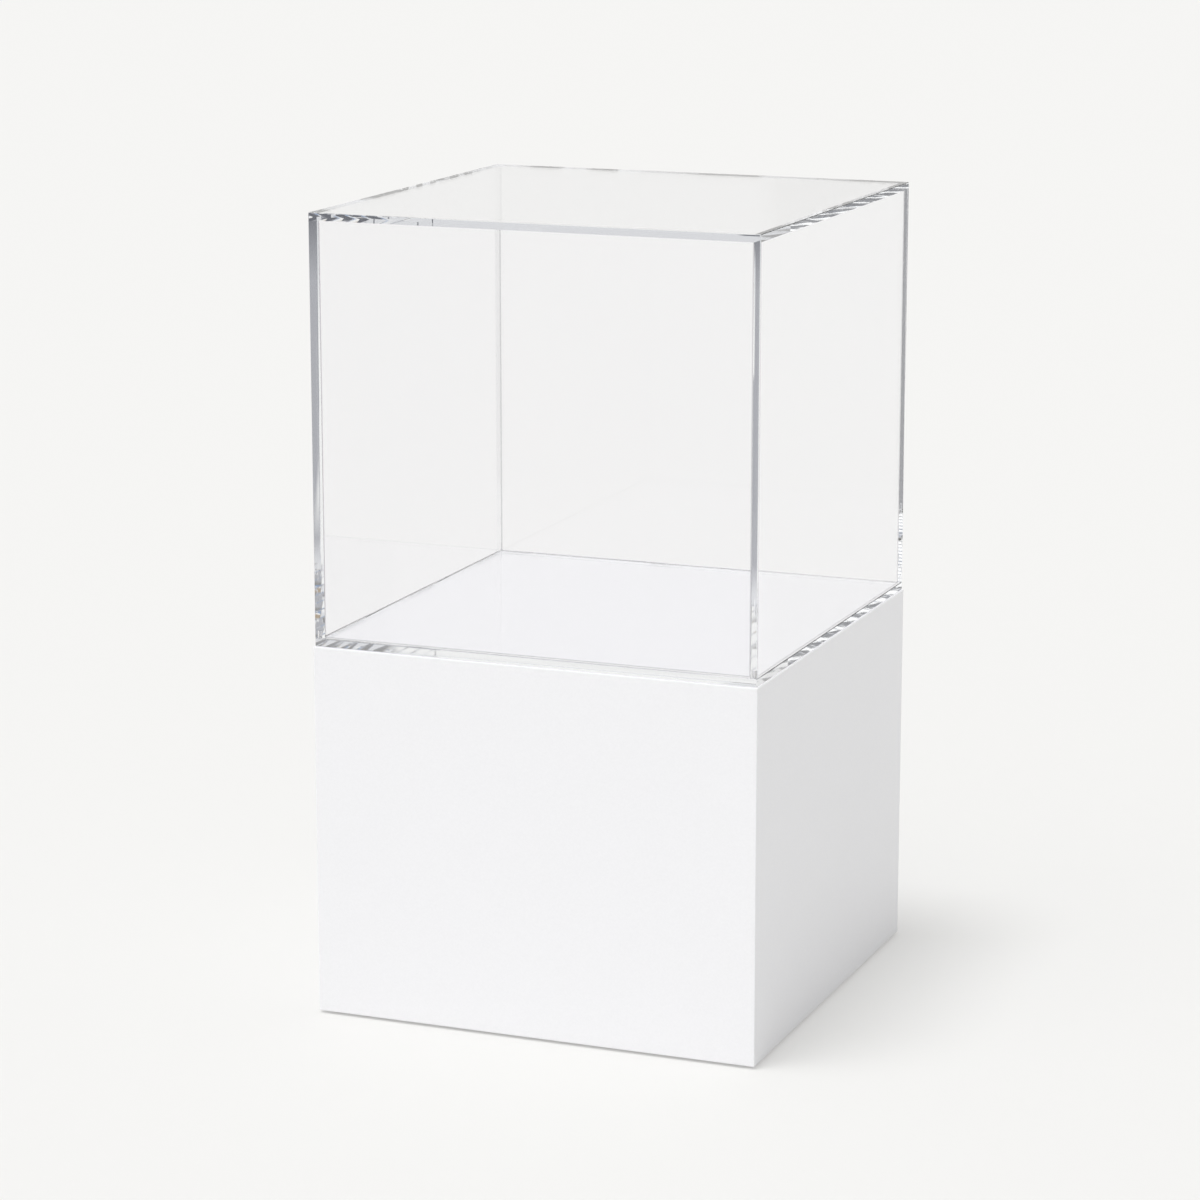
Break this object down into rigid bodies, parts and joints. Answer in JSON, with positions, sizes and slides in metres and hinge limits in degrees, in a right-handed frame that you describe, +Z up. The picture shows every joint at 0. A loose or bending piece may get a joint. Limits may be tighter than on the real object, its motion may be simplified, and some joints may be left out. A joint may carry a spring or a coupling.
{
  "type": "pedestal display case",
  "caption": "Square white lacquered pedestal with levelling feet under a clear acrylic case whose cover lifts off its base plate to show an exhibit.",
  "frame": {"origin": "on the floor under the middle of the pedestal, at the underside of its levelling pads", "axes": "+Z up, +X to the right and -Y to the front of the case"},
  "size_m": [0.45, 0.45, 0.7836],
  "materials": {
    "lacquer": "satin",
    "clear_acrylic": "polished",
    "fibreboard": "matte",
    "softwood": "matte",
    "zinc": "satin",
    "brass": "satin",
    "nylon": "matte"
  },
  "bodies": {
    "pedestal": {"deck": "lacquer", "front_panel": "lacquer", "right_panel": "lacquer", "back_panel": "lacquer", "left_panel": "lacquer", "bottom_panel": "fibreboard", "deck_cleat_front": "softwood", "deck_cleat_right": "softwood", "deck_cleat_back": "softwood", "deck_cleat_left": "softwood", "floor_cleat_front": "softwood", "floor_cleat_right": "softwood", "floor_cleat_back": "softwood", "floor_cleat_left": "softwood", "corner_block_front_left": "softwood", "corner_block_front_right": "softwood", "corner_block_back_left": "softwood", "corner_block_back_right": "softwood", "foot_block_front_left": "softwood", "foot_block_front_right": "softwood", "foot_block_back_left": "softwood", "foot_block_back_right": "softwood", "bottom_screws": "zinc", "insert_front_left": "brass", "insert_front_right": "brass", "insert_back_left": "brass", "insert_back_right": "brass", "base_plate": "clear_acrylic", "locating_pins": "clear_acrylic"},
    "cover": {"cover_top": "clear_acrylic", "cover_front": "clear_acrylic", "cover_right": "clear_acrylic", "cover_back": "clear_acrylic", "cover_left": "clear_acrylic"},
    "pad_front_left": {"foot_pad_front_left": "nylon"},
    "stud_front_left": {"foot_stud_front_left": "zinc"},
    "pad_front_right": {"foot_pad_front_right": "nylon"},
    "stud_front_right": {"foot_stud_front_right": "zinc"},
    "pad_back_left": {"foot_pad_back_left": "nylon"},
    "stud_back_left": {"foot_stud_back_left": "zinc"},
    "pad_back_right": {"foot_pad_back_right": "nylon"},
    "stud_back_right": {"foot_stud_back_right": "zinc"}
  },
  "joints": [
    {"name": "cover_lift", "type": "slide", "parent": "pedestal", "child": "cover", "axis": [0, 0, 1], "range_m": [0, 0.45]},
    {"name": "foot_height_front_left", "type": "slide", "parent": "pedestal", "child": "pad_front_left", "axis": [0, 0, -1], "range_m": [-0.0025, 0.01]},
    {"name": "foot_turn_front_left", "type": "hinge", "parent": "pad_front_left", "child": "stud_front_left", "pos_m": [-0.18, -0.18, 0.0095], "axis": [0, 0, -1], "range_deg": [-720, 2880]},
    {"name": "foot_height_front_right", "type": "slide", "parent": "pedestal", "child": "pad_front_right", "axis": [0, 0, -1], "range_m": [-0.0025, 0.01]},
    {"name": "foot_turn_front_right", "type": "hinge", "parent": "pad_front_right", "child": "stud_front_right", "pos_m": [0.18, -0.18, 0.0095], "axis": [0, 0, -1], "range_deg": [-720, 2880]},
    {"name": "foot_height_back_left", "type": "slide", "parent": "pedestal", "child": "pad_back_left", "axis": [0, 0, -1], "range_m": [-0.0025, 0.01]},
    {"name": "foot_turn_back_left", "type": "hinge", "parent": "pad_back_left", "child": "stud_back_left", "pos_m": [-0.18, 0.18, 0.0095], "axis": [0, 0, -1], "range_deg": [-720, 2880]},
    {"name": "foot_height_back_right", "type": "slide", "parent": "pedestal", "child": "pad_back_right", "axis": [0, 0, -1], "range_m": [-0.0025, 0.01]},
    {"name": "foot_turn_back_right", "type": "hinge", "parent": "pad_back_right", "child": "stud_back_right", "pos_m": [0.18, 0.18, 0.0095], "axis": [0, 0, -1], "range_deg": [-720, 2880]}
  ],
  "couplings": [
    {"joint": "foot_turn_front_left", "follows": "foot_height_front_left", "rad_per_m": 5026.5},
    {"joint": "foot_turn_front_right", "follows": "foot_height_front_right", "rad_per_m": 5026.5},
    {"joint": "foot_turn_back_left", "follows": "foot_height_back_left", "rad_per_m": 5026.5},
    {"joint": "foot_turn_back_right", "follows": "foot_height_back_right", "rad_per_m": 5026.5}
  ]
}
